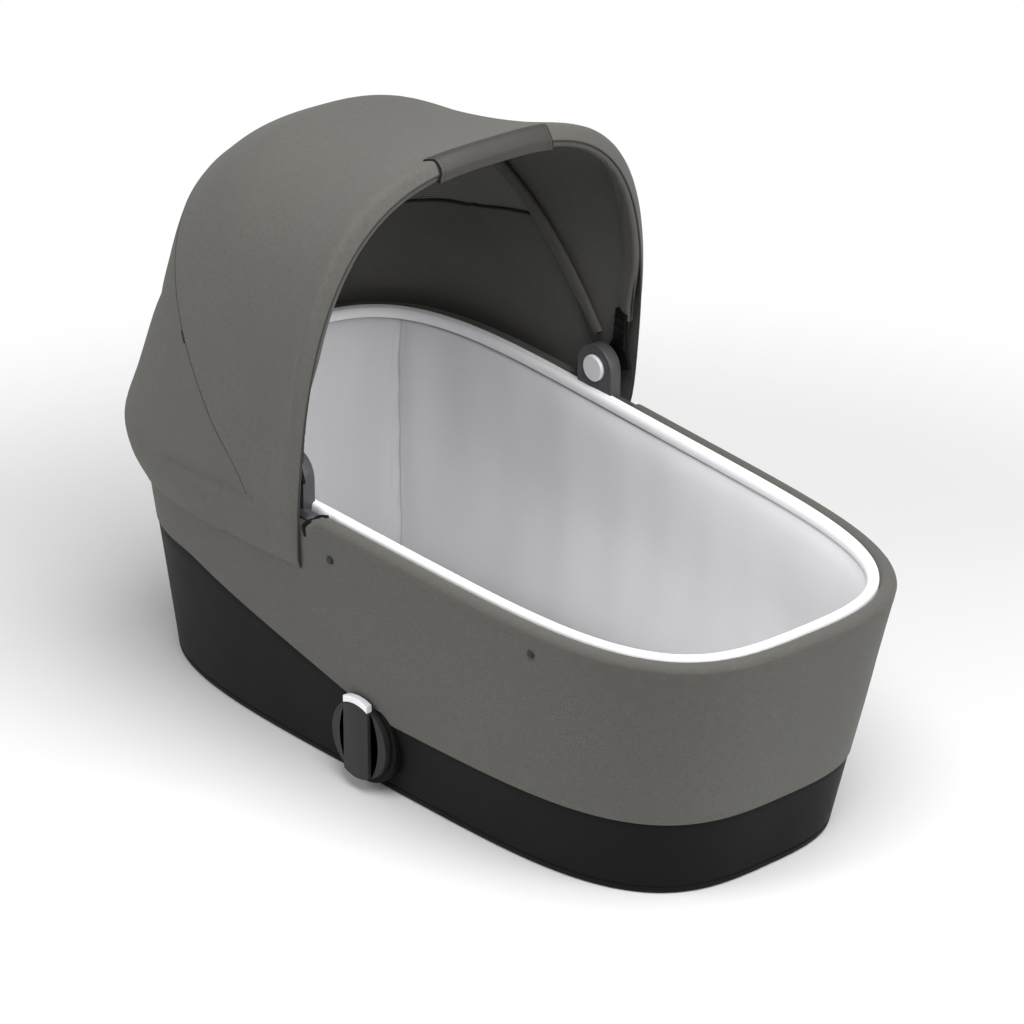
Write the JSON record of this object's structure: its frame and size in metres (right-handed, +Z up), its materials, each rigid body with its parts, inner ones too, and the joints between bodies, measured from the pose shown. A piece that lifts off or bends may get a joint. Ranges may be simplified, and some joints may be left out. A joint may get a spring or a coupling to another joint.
{
  "type": "carrycot",
  "caption": "Baby carrycot with a hard base tray, fabric walls round a rim hoop, a folding fabric hood on two bows, side adapters and a lift-out mattress.",
  "frame": {"origin": "on the floor under the middle of the whole cot", "axes": "+X towards the foot end, +Z up; the hood covers the -X end"},
  "size_m": [0.8823, 0.4712, 0.6437],
  "materials": {
    "black_plastic": "satin",
    "grey_plastic": "satin",
    "dark_plastic": "satin",
    "silver_plastic": "metallic paint",
    "white_plastic": "smooth",
    "steel": "plain",
    "board": "plain",
    "grey_fabric": "fine weave",
    "dark_fabric": "fine weave",
    "white_fabric": "smooth",
    "pale_lining": "smooth",
    "mattress_cover": "smooth",
    "net": "open net",
    "leatherette": "grained"
  },
  "bodies": {
    "cot": {"base_shell": "black_plastic", "floor_board": "board", "wall_board": "board", "rim_hoop": "grey_plastic", "side_fabric": "grey_fabric", "rim_band": "white_fabric", "liner": "pale_lining", "hinge_bracket_near": "grey_plastic", "hinge_bracket_far": "grey_plastic", "hinge_pin_near": "steel", "hinge_pin_far": "steel", "button_spring_near": "steel", "button_spring_far": "steel", "hood_rear_panel": "grey_fabric", "hood_main_panel": "grey_fabric", "hood_front_panel": "grey_fabric", "mesh_window": "net", "adapter_near": "grey_plastic", "adapter_far": "grey_plastic", "tab_spring_near": "steel", "tab_spring_far": "steel", "adapter_screw_near_head": "steel", "adapter_screw_near_foot": "steel", "adapter_screw_far_head": "steel", "adapter_screw_far_foot": "steel", "press_stud_near_head": "dark_plastic", "press_stud_near_foot": "dark_plastic", "press_stud_far_head": "dark_plastic", "press_stud_far_foot": "dark_plastic"},
    "middle_bow": {"mid_bow": "dark_fabric"},
    "front_bow": {"front_bow": "dark_fabric", "bow_socket_near": "black_plastic", "bow_socket_far": "black_plastic", "grip": "leatherette"},
    "mattress": {"mattress": "mattress_cover"},
    "button_near": {"hinge_button_near": "silver_plastic"},
    "button_far": {"hinge_button_far": "silver_plastic"},
    "tab_near": {"adapter_tab_near": "white_plastic"},
    "tab_far": {"adapter_tab_far": "white_plastic"}
  },
  "joints": [
    {"name": "middle_bow_fold", "type": "hinge", "parent": "cot", "child": "middle_bow", "pos_m": [-0.082, 0, 0.328], "axis": [0, -1, 0], "range_deg": [0, 46], "deforming": ["hood_front_panel", "hood_main_panel", "hood_rear_panel", "mesh_window"]},
    {"name": "front_bow_fold", "type": "hinge", "parent": "middle_bow", "child": "front_bow", "pos_m": [-0.082, 0, 0.328], "axis": [0, -1, 0], "range_deg": [0, 21]},
    {"name": "mattress_lift", "type": "slide", "parent": "cot", "child": "mattress", "axis": [0, 0, 1], "range_m": [0, 0.12]},
    {"name": "button_near_press", "type": "slide", "parent": "cot", "child": "button_near", "axis": [0, -1, 0], "range_m": [0, 0.0025], "stiffness_N_per_m": 900, "springref_m": -0.001, "deforming": ["button_spring_near"]},
    {"name": "button_far_press", "type": "slide", "parent": "cot", "child": "button_far", "axis": [0, 1, 0], "range_m": [0, 0.0025], "stiffness_N_per_m": 900, "springref_m": -0.001, "deforming": ["button_spring_far"]},
    {"name": "tab_near_pull", "type": "slide", "parent": "cot", "child": "tab_near", "axis": [0, 0, 1], "range_m": [0, 0.006], "stiffness_N_per_m": 600, "springref_m": -0.002, "deforming": ["tab_spring_near"]},
    {"name": "tab_far_pull", "type": "slide", "parent": "cot", "child": "tab_far", "axis": [0, 0, 1], "range_m": [0, 0.006], "stiffness_N_per_m": 600, "springref_m": -0.002, "deforming": ["tab_spring_far"]}
  ],
  "couplings": [
    {"joint": "front_bow_fold", "follows": "middle_bow_fold", "ratio": 0.45}
  ]
}
